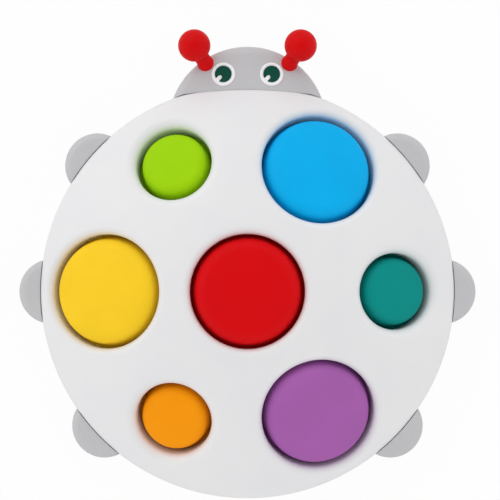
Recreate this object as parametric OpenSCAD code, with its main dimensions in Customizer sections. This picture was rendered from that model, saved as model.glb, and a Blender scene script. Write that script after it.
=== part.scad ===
// Bubble pop fidget toy in the shape of a beetle, lying on its back: a domed white body
// with seven silicone bubbles, a grey head with eyes and antennae, and six grey feet.
// The origin is the centre of the flat ring that the body rests on, +Z is the face that
// shows, +Y points to the head. All sizes are millimetres.

/* [Body] */
// Diameter of the white body
body_d = 180; // [176:1:196]
// Height of the straight side wall, up to where the rim's rounding begins
side_h = 18.4; // [16:0.2:22]
// Radius of the domed front face
dome_r = 175; // [168:1:190]
// Rounding of the outer rim
rim_round = 3; // [2.5:0.25:4]
// Wall of the two body shells
wall = 2.2; // [1.8:0.1:2.6]
// Height of the line where the two body shells meet
split_h = 13; // [12:0.5:15]
// Depth of the body between its domed front and its hollow back
body_depth = 18; // [17:0.5:20]
// Width of the flat ring that the body rests on
ring_w = 6; // [4:0.5:8]
// Rounding of the resting ring's outer edge
ring_round = 1; // [0.5:0.1:2]

/* [Wells] */
// Diameter of a large well
large_well_d = 49.2; // [44:0.2:51]
// Diameter of a small well
small_well_d = 33; // [26:1:38]
// Plain dome left between a large outer well's lip and the rounding of the rim
large_rim_band = 0.7; // [0.1:0.1:2]
// Plain dome left between a small outer well's lip and the rounding of the rim
small_rim_band = 4.5; // [4:0.1:9]
// Rounding of a large well's lip on the front
large_lip_r = 3; // [1.5:0.1:3.5]
// Rounding of a small well's lip on the front
small_lip_r = 4; // [1.5:0.1:4.5]
// Rounding of the wells' lips on the back
back_lip_r = 1.5; // [1:0.1:2]
// Wall of the collar round each well
collar_w = 3; // [2.8:0.1:3.2]
// Depth of the silicone flange below the domed face
flange_depth = 12; // [11:0.5:13]

/* [Bubbles] */
// Height of a large bubble above its flange
large_rise = 13; // [11:0.5:14]
// Height of a small bubble above its flange
small_rise = 10.6; // [8:0.2:12]
// Radius of the top of a large bubble
large_crown_r = 110; // [80:5:160]
// Radius of the top of a small bubble
small_crown_r = 70; // [50:5:100]
// Rounding of a large bubble's shoulder
large_shoulder_r = 6; // [4:0.5:7]
// Rounding of a small bubble's shoulder
small_shoulder_r = 4.5; // [3:0.5:5]
// Gap between a large bubble's side and the wall of its well
large_groove_w = 2; // [1.5:0.1:3]
// Gap between a small bubble's side and the wall of its well
small_groove_w = 2.2; // [1.2:0.1:2.5]
// Silicone wall of a bubble's rolling side
side_t = 1.2; // [0.8:0.1:1.5]
// Silicone thickness of a bubble's crown
crown_t = 1.6; // [1.2:0.1:2.2]
// Thickness of the clamped flange
flange_t = 1.6; // [1.2:0.1:2]
// Thickness of the bead round the flange
bead_t = 3.4; // [2.6:0.2:4]
// Width of the bead round the flange
bead_w = 1.3; // [1:0.1:1.4]

/* [Feet] */
// Radius of a foot's round outline
foot_r = 14.1; // [11:0.1:15]
// Distance of a foot's centre from the body's side, inwards
foot_in = 4.7; // [2:0.1:6]
// Height of a foot's underside above the table
foot_z = 3; // [1:0.5:5]
// Height of a foot's top above the table
foot_top = 20; // [14:0.5:20]
// Rounding of a foot's edges
foot_round = 3.2; // [1:0.2:4]
// Width of the neck that passes through the body's wall
foot_neck_w = 14; // [10:1:16]
// Directions of the feet, in degrees from +X
foot_angles = [0, 40, 140, 180, 223.1, 316.9];

/* [Necks] */
// Height of the necks' undersides above the feet's undersides
neck_lift = 3; // [2:0.1:4]
// Thickness of the flange that keeps a neck behind the body's wall
anchor_t = 1.5; // [1.2:0.1:2]
// How far that flange reaches past its neck on each side
anchor_lip = 3; // [1.5:0.1:4]
// How far that flange reaches below its neck
anchor_drop = 1.5; // [1:0.1:2]

/* [Head] */
// Radius of the head's round outline
head_r = 34.5; // [32:0.5:37]
// Distance of the head's centre from the body's side, inwards
head_in = 17.8; // [15:0.2:20]
// Rise of the head's domed face above the body's straight side, at its centre
head_rise = 4; // [3.4:0.1:6]
// Radius of the head's domed face
head_dome_r = 220; // [160:10:400]
// Rounding of the head's front edge
head_round = 4; // [3:0.5:5]
// Height of the head's underside above the table
head_z = 3; // [2:0.5:5]
// Rounding of the head's back edge
head_low_round = 1.5; // [1:0.1:2]
// Wall of the head's two halves
head_wall = 2; // [1.6:0.1:2.4]
// Depth of the seats for the head's two screws
head_seat = 2.6; // [2.4:0.1:3]
// Width of the neck that passes through the body's wall
head_neck_w = 40; // [30:1:46]

/* [Eyes] */
// Diameter of the white of an eye
eye_d = 10.2; // [8:0.1:11]
// Distance of an eye from the head's middle line
eye_x = 10.5; // [9:0.1:12]
// Distance of the eyes from the head's centre, along the middle line
eye_ahead = 22.2; // [20.6:0.1:24]
// Diameter of a pupil
pupil_d = 7.2; // [5:0.1:8]
// Width of the pale notch in a pupil
notch_w = 1.9; // [1:0.1:2.4]
// Distance of the notch's round end from the pupil's centre
notch_r = 2; // [1.4:0.1:2.6]
// Depth of an eye's seat in the head
eye_seat = 1.2; // [0.8:0.1:1.4]
// Height that an eye stands proud of the head
eye_proud = 0.4; // [0.2:0.1:1]
// Rounding of an eye's edges
eye_round = 0.3; // [0.1:0.1:0.4]
// Direction of the notch in a pupil, in degrees from +X
notch_turn = 225; // [180:5:360]
// Depth of a pupil's seat in the eye
pupil_seat = 0.6; // [0.4:0.1:0.8]
// Height that a pupil stands proud of the eye
pupil_proud = 0.1; // [0.1:0.1:0.3]

/* [Antennae] */
// Diameter of an antenna's ball
ball_d = 14; // [11:0.5:16]
// Diameter of an antenna's stalk
stalk_d = 6.6; // [5:0.2:8]
// Diameter of the round root that sits on the head
root_d = 7.4; // [6:0.2:9]
// Length of the stalk, from the root's centre to the ball's centre
stalk_len = 11; // [10.6:0.2:16]
// Direction of an antenna about the head's centre, in degrees from the middle line
antenna_turn = 34; // [31:1:45]
// Place of an antenna's root on the head's rounded edge, in degrees up from its side
antenna_seat = 57; // [50:1:65]
// Rise of an antenna above the level, in degrees
antenna_rise = 40; // [35:1:50]
// Diameter of the stem that passes through the head's wall
stem_d = 4.2; // [3.6:0.2:5]
// Length of the stem between the head's face and its barb
stem_len = 4.7; // [4.6:0.1:5.2]
// Diameter of the barb that keeps the stem in the head
barb_d = 5.2; // [4.8:0.1:5.4]
// Thickness of that barb
barb_h = 1.5; // [1:0.1:2]

/* [Screws] */
// Diameter of the screws' shank
screw_d = 2.9; // [2.5:0.1:3.2]
// Length of a screw below its head
screw_len = 10; // [8:0.5:10.5]
// Diameter of a screw's head
screw_head_d = 5.6; // [4.8:0.1:5.8]
// Height of a screw's head
screw_head_h = 2; // [1.5:0.1:2.4]
// Distance of the six outer screws from the body's side
outer_screw_in = 12; // [11:0.5:13]
// Distance of the three inner screws from the body's axis
inner_screw_r = 40; // [39.5:0.1:41]
// Depth of a screw's seat above the hollow back
seat_depth = 4; // [3.5:0.1:4.5]
// Plastic between a screw's head and the front shell's post
seat_floor = 2.7; // [2:0.1:3]
// Wall of a front post round a screw's shank
post_wall = 1.6; // [1.2:0.1:1.8]
// Wall of a rear post round a screw's head
seat_wall = 1.2; // [1:0.1:1.4]
// Distance of the head's two screws from its middle line
head_screw_x = 22.5; // [21.5:0.1:23]
// Distance of the head's two screws from the body's side
head_screw_gap = 3.9; // [3.7:0.1:4.2]

/* [Fits] */
// Gap between pieces that are pushed together
fit = 0.1; // [0.05:0.05:0.2]
// Gap between a bubble's crown and its rolling side
crown_gap = 0.3; // [0.2:0.05:0.5]
// Radial gap between a screw's shank and its bored post
thread_gap = 0.05; // [0.02:0.01:0.1]
// Radial gap round a screw in the piece that it passes through
screw_room = 0.3; // [0.2:0.05:0.5]

/* [Hidden] */
$fn = 180;
// More than any size here, for cuts that run right through
far = 400;
// Bite of the back wells' roundings through the hollow back
lip_bite = 0.02;
body_r = body_d / 2;
// The domed front, the hollow back and all the wells share this centre, set to a hundredth
dome_z = round(100 * (side_h - cap_h(dome_r - rim_round, body_r - rim_round))) / 100;
// Height of the body from its resting ring to the top of its dome
body_h = dome_z + dome_r;
back_r = dome_r - body_depth;
// The silicone flange lies between these two distances from the dome's centre
flange_top = dome_r - flange_depth;
flange_low = flange_top - flange_t;

foot_ring_r = body_r - foot_in;
head_y = body_r - head_in;
head_h = side_h + head_rise;
outer_screw_r = body_r - outer_screw_in;

// Each well: colour name, colour, large or small, direction in degrees, in the ring or not
WELLS = [
    ["red", "#d6000e", true, 0, false],
    ["blue", "#01aff0", true, 60, true],
    ["green", "#a0d70e", false, 120, true],
    ["yellow", "#fbcf2a", true, 180, true],
    ["orange", "#fd9802", false, 240, true],
    ["purple", "#a661aa", true, 300, true],
    ["teal", "#008e86", false, 0, true]
];
FEET = ["foot_right", "foot_upper_right", "foot_upper_left", "foot_left", "foot_lower_left",
        "foot_lower_right"];
SIDES = ["right", "left"];

// Sizes of a well and its bubble, by whether it is a large one
function well_r(large) = (large ? large_well_d : small_well_d) / 2;
function lip_r(large) = large ? large_lip_r : small_lip_r;
function rise(large) = large ? large_rise : small_rise;
function crown_r(large) = large ? large_crown_r : small_crown_r;
function shoulder_r(large) = large ? large_shoulder_r : small_shoulder_r;
function side_r(large) = well_r(large) - (large ? large_groove_w : small_groove_w);
// Distance from the body's axis at which the dome turns into the rounding of the rim
dome_edge_r = (body_r - rim_round) * dome_r / (dome_r - rim_round);
// Tilt of a well's axis: its mouth is square to the dome, and its lip ends short of the rim
function lip_angle(large) = asin((well_r(large) + lip_r(large)) / (dome_r - lip_r(large)));
function rim_band(large) = large ? large_rim_band : small_rim_band;
function tilt(w) = w[4] ? asin((dome_edge_r - rim_band(w[2])) / dome_r) - lip_angle(w[2]) : 0;
// Height of a ball's surface above a point at a given distance from the ball's axis
function cap_h(r, x) = sqrt(r * r - x * x);

// Radius of a front post that takes a screw, and of a rear post that seats a screw's head
post_r = screw_d / 2 + thread_gap + post_wall;
seat_r = screw_head_d / 2 + screw_room + seat_wall;

// Places children on a well's own axis, with their origin at the dome's centre
module on_well(w) translate([0, 0, dome_z]) rotate([0, tilt(w), w[3]]) children();

// Half section of a round body with a domed top and a rounded rim, shrunk by inset. The
// ball and the rounding are cut on the line on which one arc runs smoothly into the other.
module domed_section(r, top_z, ball_r, round_r, low_z, inset) {
    ball_z = top_z - ball_r;
    corner_x = r - round_r;
    corner_z = ball_z + cap_h(ball_r - round_r, corner_x);
    reach = far * [corner_x, corner_z - ball_z] / ball_r;
    intersection() {
        translate([0, ball_z]) circle(ball_r - inset);
        polygon([[0, corner_z], [corner_x, corner_z], [corner_x, corner_z] + reach,
                 [0, corner_z + reach[1]]]);
    }
    intersection() {
        translate([corner_x, corner_z]) circle(round_r - inset);
        polygon([[corner_x, corner_z], [corner_x, corner_z - far], [corner_x + far, corner_z - far],
                 [corner_x, corner_z] + reach]);
    }
    translate([0, low_z + inset]) square([r - inset, corner_z - low_z - inset]);
}

// Half section of what lies inside a ball and a straight wall, above a height
module capped_section(r, ball_z, ball_r, low_z) {
    intersection() {
        translate([0, ball_z]) circle(ball_r);
        translate([0, low_z]) square([r, far]);
    }
}

// Ring between two radii and two heights
module tube(r_out, r_in, z0, z1) {
    rotate_extrude() translate([r_in, z0]) square([r_out - r_in, z1 - z0]);
}

// The six screws near the rim stand between the outer wells, the three inner ones where
// three wells leave room, on the side of the small ones
module at_screws() {
    for (a = [30:60:330]) rotate([0, 0, a]) translate([outer_screw_r, 0, seat_z(outer_screw_r)])
        children();
    for (a = [24:120:264]) rotate([0, 0, a]) translate([inner_screw_r, 0, seat_z(inner_screw_r)])
        children();
}
// Height of a screw head's seat at a distance from the body's axis
function seat_z(x) = dome_z + cap_h(back_r, x) + seat_depth;

// Cuts a well: a straight throat of radius r from height z0, then a rounded lip that runs
// out on a ball. The lip turns out over the front face (out = 1) or the back (out = -1),
// and its rounding may bite a little through its face, so that the two meet at an edge.
module well_cut(r, z0, face_r, round_r, out, bite) {
    lip_z = cap_h(face_r - out * round_r, r + round_r);
    reach = face_r / (face_r - out * round_r);
    mouth = reach * [r + round_r, lip_z];
    beyond = mouth[1] + out * round_r;
    rotate_extrude() difference() {
        polygon([[0, z0], [r, z0], [r, lip_z], [r + round_r, lip_z], mouth, [mouth[0], beyond],
                 [0, beyond]]);
        translate([r + round_r, lip_z + out * bite]) circle(round_r);
    }
}

module front_shell() {
    skin_r = dome_r - wall / 2;
    color("#ececec") difference() {
        union() {
            rotate_extrude() difference() {
                domed_section(body_r, body_h, dome_r, rim_round, split_h, 0);
                capped_section(body_r - wall, dome_z, dome_r - wall, split_h - 1);
            }
            // collars that press on the flanges from the front
            for (w = WELLS) on_well(w)
                tube(well_r(w[2]) + collar_w, well_r(w[2]) - 1, flange_top,
                     cap_h(skin_r, well_r(w[2]) + collar_w));
            // posts that take the screws
            intersection() {
                at_screws() translate([0, 0, seat_floor]) cylinder(r = post_r, h = far / 10);
                translate([0, 0, dome_z]) sphere(skin_r);
            }
        }
        for (w = WELLS) on_well(w)
            well_cut(well_r(w[2]), flange_low, dome_r, lip_r(w[2]), 1, 0);
        at_screws() cylinder(r = screw_d / 2 + thread_gap, h = screw_len + 0.4);
    }
}

module rear_shell() {
    skin_r = back_r + wall / 2;
    color("#e6e6e6") difference() {
        union() {
            rotate_extrude() difference() {
                rear_section();
                // hollow between the two shells
                difference() {
                    translate([0, wall]) square([body_r - wall, far]);
                    translate([0, dome_z]) circle(back_r + wall);
                }
            }
            // collars that press on the flanges from the back
            for (w = WELLS) on_well(w)
                tube(well_r(w[2]) + collar_w, well_r(w[2]) - 1,
                     cap_h(skin_r, well_r(w[2]) + collar_w), flange_low);
            // posts that seat the screws' heads
            difference() {
                at_screws() translate([0, 0, -seat_depth - wall])
                    cylinder(r = seat_r, h = seat_depth + wall + seat_floor);
                translate([0, 0, dome_z]) sphere(skin_r);
            }
        }
        for (w = WELLS) on_well(w) well_cut(well_r(w[2]), flange_top, back_r, back_lip_r, -1, lip_bite);
        at_screws() {
            translate([0, 0, -far / 20]) cylinder(r = screw_head_d / 2 + screw_room, h = far / 20);
            translate([0, 0, -1]) cylinder(r = screw_d / 2 + screw_room, h = far / 10);
        }
        for (a = foot_angles) rotate([0, 0, a]) wall_notch(foot_neck_w);
        rotate([0, 0, 90]) wall_notch(head_neck_w);
    }
}

// Half section of the rear shell's outside: side wall, resting ring and hollow back
module rear_section() {
    difference() {
        union() {
            translate([0, ring_round]) square([body_r, split_h - ring_round]);
            square([body_r - ring_round, ring_round + 1]);
            translate([body_r - ring_round, ring_round]) circle(ring_round);
            // the plate of the hollow back stands higher than the split line
            capped_section(body_r - wall, dome_z, back_r + wall, 0);
        }
        difference() {
            translate([0, dome_z]) circle(back_r);
            translate([body_r - ring_w, -1]) square([ring_w, far]);
        }
    }
}

// Height of the underside of the necks that pass through the rear shell's wall
neck_low = foot_z + neck_lift;

// Notch in the rear shell's wall, open to the split line, that takes a neck
module wall_notch(w) {
    translate([body_r - 2 * wall, -w / 2 - fit, neck_low])
        cube([3 * wall, w + 2 * fit, split_h - neck_low + 1]);
}

// Neck through the wall, and the flange that keeps it from pulling out. The neck's outer end
// runs into the foot or the head.
module wall_anchor(w) {
    back_x = body_r - wall - fit;
    flange_w = w + 2 * anchor_lip;
    intersection() {
        tube(body_r + anchor_lip, back_x - anchor_t, neck_low, split_h);
        translate([0, -w / 2, 0]) cube([far, w, far]);
    }
    intersection() {
        tube(back_x, back_x - anchor_t, neck_low - anchor_drop, split_h - anchor_drop);
        translate([0, -flange_w / 2, 0]) cube([far, flange_w, far]);
    }
}

module foot(i) {
    color("#bcbcbe") rotate([0, 0, foot_angles[i]]) {
        difference() {
            translate([foot_ring_r, 0, 0]) rotate_extrude() rounded_section(foot_r, foot_z,
                foot_top, foot_round);
            cylinder(r = body_r + fit, h = far, center = true);
        }
        wall_anchor(foot_neck_w);
    }
}

// Half section of a disc between two heights, with both edges rounded
module rounded_section(r, z0, z1, round_r) {
    translate([0, z0]) square([r - round_r, z1 - z0]);
    translate([0, z0 + round_r]) square([r, z1 - z0 - 2 * round_r]);
    for (z = [z0 + round_r, z1 - round_r]) translate([r - round_r, z]) circle(round_r);
}

// Half section of a bubble's outside, on its well's axis, shrunk by inset
module bubble_section(large, inset) {
    domed_section(side_r(large), flange_top + rise(large), crown_r(large), shoulder_r(large),
                  flange_low - inset, inset);
}

// The part of a bubble that moves as one when it is pushed: the cap inside its shoulder
module crown(i) {
    large = WELLS[i][2];
    color(WELLS[i][1]) on_well(WELLS[i]) rotate_extrude() intersection() {
        difference() {
            bubble_section(large, 0);
            bubble_section(large, crown_t);
        }
        translate([0, flange_top]) square([side_r(large) - shoulder_r(large), far]);
    }
}

// The part of a bubble that rolls over: its shoulder, side, and the clamped flange and bead
module skirt(i) {
    large = WELLS[i][2];
    bead_x = well_r(large) + collar_w + 2 * fit;
    color(WELLS[i][1]) on_well(WELLS[i]) rotate_extrude() difference() {
        union() {
            bubble_section(large, 0);
            translate([0, flange_low]) square([bead_x + bead_w, flange_t]);
            translate([bead_x, (flange_low + flange_top - bead_t) / 2]) square([bead_w, bead_t]);
        }
        bubble_section(large, side_t);
        square([side_r(large) - side_t, flange_top]);
        translate([0, flange_low]) square([side_r(large) - shoulder_r(large) + crown_gap, far]);
    }
}

// Half section of the head's outside, grown by a gap
module head_section(gap) {
    low = head_z + head_low_round;
    domed_section(head_r, head_h, head_dome_r, head_round, low + gap, -gap);
    translate([head_r - head_low_round, low]) circle(head_low_round + gap);
    translate([0, head_z - gap]) square([head_r - head_low_round, head_low_round + 1]);
}

// The head's inside, set in from its outside by a wall
module head_inside(inset) {
    about_head() capped_section(head_r - inset, head_h - head_dome_r, head_dome_r - inset,
                                head_z + inset);
}

// Turns a half section about the head's own axis
module about_head() translate([0, head_y, 0]) rotate_extrude() children();

// What the head is cut to, grown by a gap: the body's side wall, and a cone that leans on
// the dome at the edge where its rounding begins, so that the head laps over the rim
module body_cutter(gap) {
    lean = acos(dome_edge_r / dome_r);
    side = body_r + gap;
    // a cone at this lean lies this far out along its own normal
    off = dome_edge_r * cos(lean) + cap_h(dome_r, dome_edge_r) * sin(lean) + gap;
    cone_z = function (x) dome_z + (off - x * cos(lean)) / sin(lean);
    cone_x = function (z) (off - (z - dome_z) * sin(lean)) / cos(lean);
    top = head_h + 1;
    rotate_extrude() polygon([[0, -far / 10], [side, -far / 10], [side, cone_z(side)],
                              [cone_x(top), top], [0, top]]);
}

module at_head_screws() {
    y = cap_h(body_r + head_screw_gap, head_screw_x);
    for (x = [-head_screw_x, head_screw_x]) translate([x, y, head_z + head_seat]) children();
}

// Places children on the head's dome at an eye, with +Z out of the dome
module on_eye(side) {
    turn = atan2(eye_ahead, side * eye_x);
    translate([0, head_y, head_h - head_dome_r])
        rotate([0, asin(norm([eye_x, eye_ahead]) / head_dome_r), turn])
            translate([0, 0, head_dome_r]) rotate([0, 0, -turn]) children();
}

// Places children on the head's rounded edge at an antenna, with +Z along its stalk
module on_antenna(side) {
    corner_x = head_r - head_round;
    corner_z = head_h - head_dome_r + cap_h(head_dome_r - head_round, corner_x);
    root = head_round * [cos(antenna_seat), 0, sin(antenna_seat)];
    translate([0, head_y, 0]) rotate([0, 0, 90 - side * antenna_turn])
        translate([corner_x, 0, corner_z] + root) rotate([0, 90 - antenna_rise, 0]) children();
}

module head_front() {
    color("#bcbcbe") difference() {
        union() {
            difference() {
                about_head() head_section(0);
                difference() {
                    head_inside(head_wall);
                    body_cutter(fit + head_wall);
                }
                body_cutter(fit);
                translate([-far / 2, 0, split_h - far]) cube(far);
            }
            intersection() {
                at_head_screws() translate([0, 0, seat_floor]) cylinder(r = post_r, h = far / 10);
                head_inside(head_wall / 2);
            }
        }
        at_head_screws() cylinder(r = screw_d / 2 + thread_gap, h = screw_len + 0.4);
        for (side = [1, -1]) {
            on_eye(side) translate([0, 0, -eye_seat]) cylinder(d = eye_d + 2 * fit, h = eye_d);
            on_antenna(side) cylinder(d = stem_d + 2 * fit, h = 2 * stem_len, center = true);
        }
    }
}

module head_rear() {
    color("#b4b4b6") difference() {
        union() {
            difference() {
                about_head() head_section(0);
                difference() {
                    head_inside(head_wall);
                    cylinder(r = body_r + fit + head_wall, h = far);
                    at_head_screws() translate([0, 0, -head_seat])
                        cylinder(r = seat_r, h = head_seat + seat_floor);
                }
                cylinder(r = body_r + fit, h = far);
                translate([-far / 2, 0, split_h]) cube(far);
            }
            rotate([0, 0, 90]) wall_anchor(head_neck_w);
        }
        at_head_screws() {
            translate([0, 0, -head_seat - head_z])
                cylinder(r = screw_head_d / 2 + screw_room, h = head_seat + head_z);
            translate([0, 0, -1]) cylinder(r = screw_d / 2 + screw_room, h = screw_len);
            // room beside the wall and the neck for the front half's posts
            translate([0, 0, seat_floor]) cylinder(r = post_r + fit, h = screw_len);
        }
    }
}

// Outline of a pupil, grown by a gap: a disc with a round-ended notch towards one side
module pupil_outline(gap) {
    difference() {
        circle(pupil_d / 2 + gap);
        rotate(notch_turn) translate([notch_r, 0]) {
            circle(notch_w / 2 - gap);
            translate([0, gap - notch_w / 2]) square([pupil_d, notch_w - 2 * gap]);
        }
    }
}

module eye(side) {
    color("white") on_eye(side) difference() {
        rotate_extrude() rounded_section(eye_d / 2, -eye_seat, eye_proud, eye_round);
        translate([0, 0, eye_proud - pupil_seat]) linear_extrude(eye_d)
            pupil_outline(fit / 2);
    }
}

module pupil(side) {
    color("#05503f") on_eye(side) translate([0, 0, eye_proud - pupil_seat])
        linear_extrude(pupil_seat + pupil_proud) pupil_outline(0);
}

module antenna(side) {
    color("#d6000e") {
        difference() {
            on_antenna(side) {
                sphere(d = root_d);
                cylinder(d = stalk_d, h = stalk_len);
                translate([0, 0, stalk_len]) sphere(d = ball_d);
            }
            about_head() head_section(fit / 5);
        }
        on_antenna(side) {
            translate([0, 0, -stem_len]) cylinder(d = stem_d, h = stem_len + 1);
            translate([0, 0, -stem_len - barb_h]) cylinder(d = barb_d, h = barb_h);
        }
    }
}

// Pan-head screw whose seat is the origin: its shank points up, its head hangs below
module screw() {
    difference() {
        union() {
            rotate_extrude() rounded_section(screw_head_d / 2, -screw_head_h, 0, screw_head_h / 4);
            cylinder(d = screw_d, h = screw_len);
        }
        for (turn = [0, 90]) rotate([0, 0, turn]) translate([0, 0, -screw_head_h])
            cube([screw_head_d * 0.6, screw_head_d * 0.16, screw_head_h * 1.2], center = true);
    }
}

module body_screws() {
    color("#9a9ca0") at_screws() screw();
}

module head_screws() {
    color("#9a9ca0") at_head_screws() screw();
}

front_shell();
rear_shell();
for (i = [0:len(WELLS) - 1]) {
    crown(i);
    skirt(i);
}
for (i = [0:len(FEET) - 1]) foot(i);
head_front();
head_rear();
for (i = [0, 1]) {
    eye(1 - 2 * i);
    pupil(1 - 2 * i);
    antenna(1 - 2 * i);
}
body_screws();
head_screws();
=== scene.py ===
# %% [markdown]
# # A bubble pop toy in the shape of a beetle
# The toy lies on its back: a domed white body holds seven soft bubbles, and a grey head with
# eyes and antennae and six grey feet lean against its rim. The construction and the sizes
# come from the imported CAD model, which is loaded first as a fixed frame. Most visible
# surfaces are then worked out anew with numpy, the eyes, screws and the head's rear half are
# smoothed copies of the CAD meshes, and all are given their materials and lit.

# %% Load the frame
import math

import bmesh
import bpy
import numpy as np
from mathutils.geometry import delaunay_2d_cdt
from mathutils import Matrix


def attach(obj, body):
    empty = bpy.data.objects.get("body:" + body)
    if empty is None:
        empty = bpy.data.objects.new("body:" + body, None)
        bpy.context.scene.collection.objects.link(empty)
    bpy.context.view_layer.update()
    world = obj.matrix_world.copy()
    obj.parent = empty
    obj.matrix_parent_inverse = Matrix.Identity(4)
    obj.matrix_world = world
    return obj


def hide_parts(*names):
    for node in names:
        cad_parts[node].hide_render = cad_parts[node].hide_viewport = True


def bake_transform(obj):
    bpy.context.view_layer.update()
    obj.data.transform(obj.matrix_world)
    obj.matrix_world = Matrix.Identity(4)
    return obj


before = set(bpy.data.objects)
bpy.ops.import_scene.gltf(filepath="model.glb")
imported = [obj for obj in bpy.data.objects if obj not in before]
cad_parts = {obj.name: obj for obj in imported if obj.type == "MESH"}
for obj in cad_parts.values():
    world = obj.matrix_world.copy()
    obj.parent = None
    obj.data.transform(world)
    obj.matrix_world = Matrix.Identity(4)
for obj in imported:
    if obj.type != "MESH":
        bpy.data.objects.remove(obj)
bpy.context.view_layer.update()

# %% [markdown]
# ## The sizes
# All shapes share the sizes of the CAD model. They are given in millimetres, as a maker
# would note them, and turned into metres when a mesh is made. The front is part of a ball,
# the hollow back part of a smaller ball with the same centre, and each well is cut square
# to them.

# %% Sizes in millimetres
MM = 0.001
BODY_R = 90.0
DOME_Z = -129.97
DOME_R = 175.0
BACK_R = 157.0
WALL = 2.2
RIM_ROUND = 3.0
SIDE_H = DOME_Z + math.sqrt((DOME_R - RIM_ROUND) ** 2 - (BODY_R - RIM_ROUND) ** 2)
RIM_EDGE_R = (BODY_R - RIM_ROUND) * DOME_R / (DOME_R - RIM_ROUND)
SPLIT_H = 13.0
RING_W = 6.0
RING_ROUND = 1.0
FIT = 0.1

BACK_LIP_R = 1.5
COLLAR_W = 3.0
FLANGE_TOP = 163.0
FLANGE_T = 1.6
FLANGE_LOW = FLANGE_TOP - FLANGE_T

# share of painted shade that darkens the foot of a well's wall and the low part of its
# bubble's side, from 0 to 1
LARGE = dict(well_r=24.6, rise=13.0, crown_r=110.0, shoulder_r=6.0, groove=2.0, band=0.7,
             lip_r=3.0, dust_and_shade=0.12, steps=160)
SMALL = dict(well_r=16.5, rise=10.6, crown_r=70.0, shoulder_r=4.5, groove=2.2, band=4.5,
             lip_r=4.0, dust_and_shade=0.5, steps=120)
# Each well: colour, sizes, direction round the body in degrees, in the ring or not
WELLS = [("red", LARGE, 0, False), ("blue", LARGE, 60, True), ("green", SMALL, 120, True),
         ("yellow", LARGE, 180, True), ("orange", SMALL, 240, True),
         ("purple", LARGE, 300, True), ("teal", SMALL, 0, True)]

OUTER_SCREW_R = 78.0
INNER_SCREW_R = 40.0
SCREWS = ([(OUTER_SCREW_R, turn) for turn in range(30, 360, 60)]
          + [(INNER_SCREW_R, turn) for turn in range(24, 360, 120)])
SEAT_DEPTH = 4.0
SEAT_FLOOR = 2.7
RECESS_R = 3.1
SEAT_POST_R = 4.3
SHANK_HOLE_R = 1.75
BORE_R = 1.5
BORE_DEPTH = 10.4
FRONT_POST_R = 3.1


def tilt(size, in_ring):
    """How far a well's axis leans out, in degrees: its lip ends a band short of the rim."""
    if not in_ring:
        return 0.0
    lip = math.asin((size["well_r"] + size["lip_r"]) / (DOME_R - size["lip_r"]))
    return math.degrees(math.asin((RIM_EDGE_R - size["band"]) / DOME_R) - lip)


for name, size, turn, in_ring in WELLS:
    print(name, "leans out by", round(tilt(size, in_ring), 2), "degrees")

# %% [markdown]
# ## Tools for surfaces
# Most pieces of a moulded toy are turned shapes: a profile carried round an axis. Others
# are part of a ball with holes in it. Blender's Spin and Boolean tools could make both, but
# they leave long thin triangles that spoil the gloss, so the points are worked out here as
# whole arrays, on grids whose borders match from one patch to the next.

# %% Profiles, places and grids
def arc(centre, radius, start, end, count):
    """Points of a circle: centre plus radius times (cos, sin) of evenly spaced degrees."""
    turn = np.radians(np.linspace(start, end, count))
    return np.stack([centre[0] + radius * np.cos(turn), centre[1] + radius * np.sin(turn)], 1)


def line(start, end, count):
    """Evenly spaced points from start to end, both included."""
    return np.linspace(start, end, count)


class Place:
    """An origin with three square axes. z is the axis that a shape is turned about: it leans
    from upright by lean degrees, towards the bearing turn."""

    def __init__(self, origin, lean=0.0, turn=0.0):
        lean, turn = math.radians(lean), math.radians(turn)
        self.origin = np.array(origin, float)
        self.x = np.array([math.cos(lean) * math.cos(turn), math.cos(lean) * math.sin(turn),
                           -math.sin(lean)])
        self.y = np.array([-math.sin(turn), math.cos(turn), 0.0])
        self.z = np.cross(self.x, self.y)

    def point(self, height):
        """The point of the z axis at a height."""
        return self.origin + height * self.z


WORLD = Place((0, 0, 0))


def grid_faces(rows, columns, closed):
    """Quads between neighbours of a grid whose points are numbered row by row."""
    row, column = np.meshgrid(np.arange(rows - 1), np.arange(columns - (not closed)),
                              indexing="ij")
    here = row * columns + column
    beside = row * columns + (column + 1) % columns
    return np.stack([here, beside, beside + columns, here + columns], -1).reshape(-1, 4)


def grid_patch(points, closed=False):
    """A patch from an array of rows by columns by xyz."""
    rows, columns = points.shape[:2]
    return points.reshape(-1, 3), grid_faces(rows, columns, closed)


def ring(place, radius, height, steps):
    """A circle round a place's axis: radius * (x cos + y sin) + height * z."""
    turn = np.linspace(0, 2 * np.pi, steps, endpoint=False)[:, None]
    return (place.origin + height * place.z
            + radius * (np.cos(turn) * place.x + np.sin(turn) * place.y))


def turned(profile, place, steps):
    """A profile of (radius, height) carried round a place's axis: each of its points makes a
    ring, radius * (x cos + y sin) + height * z."""
    turn = np.linspace(0, 2 * np.pi, steps, endpoint=False)[None, :, None]
    radius = np.asarray(profile)[:, 0, None, None]
    height = np.asarray(profile)[:, 1, None, None]
    points = (place.origin + height * place.z
              + radius * (np.cos(turn) * place.x + np.sin(turn) * place.y))
    return grid_patch(points, closed=True)


def ball_height(radius, x, y):
    """Height of the body's ball of a radius above a point of the table."""
    return DOME_Z + np.sqrt(radius ** 2 - x ** 2 - y ** 2)


# %% [markdown]
# A ball with holes is filled with points on a hexagonal grid. Delaunay triangulation then
# joins them to the points round each hole, and gives triangles that are as even as can be,
# which is what a glossy surface needs.

# %% Part of a ball with holes
def encloses(loop, points):
    """Even-odd rule: a point is inside a loop that a ray from it crosses an odd number of
    times."""
    x, y = points[:, 0, None], points[:, 1, None]
    ax, ay = loop[:, 0], loop[:, 1]
    bx, by = np.roll(ax, -1), np.roll(ay, -1)
    crosses = (ay > y) != (by > y)
    run = np.where(by == ay, 1.0, by - ay)
    return (crosses & (x < ax + (y - ay) / run * (bx - ax))).sum(1) % 2 == 1


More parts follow.
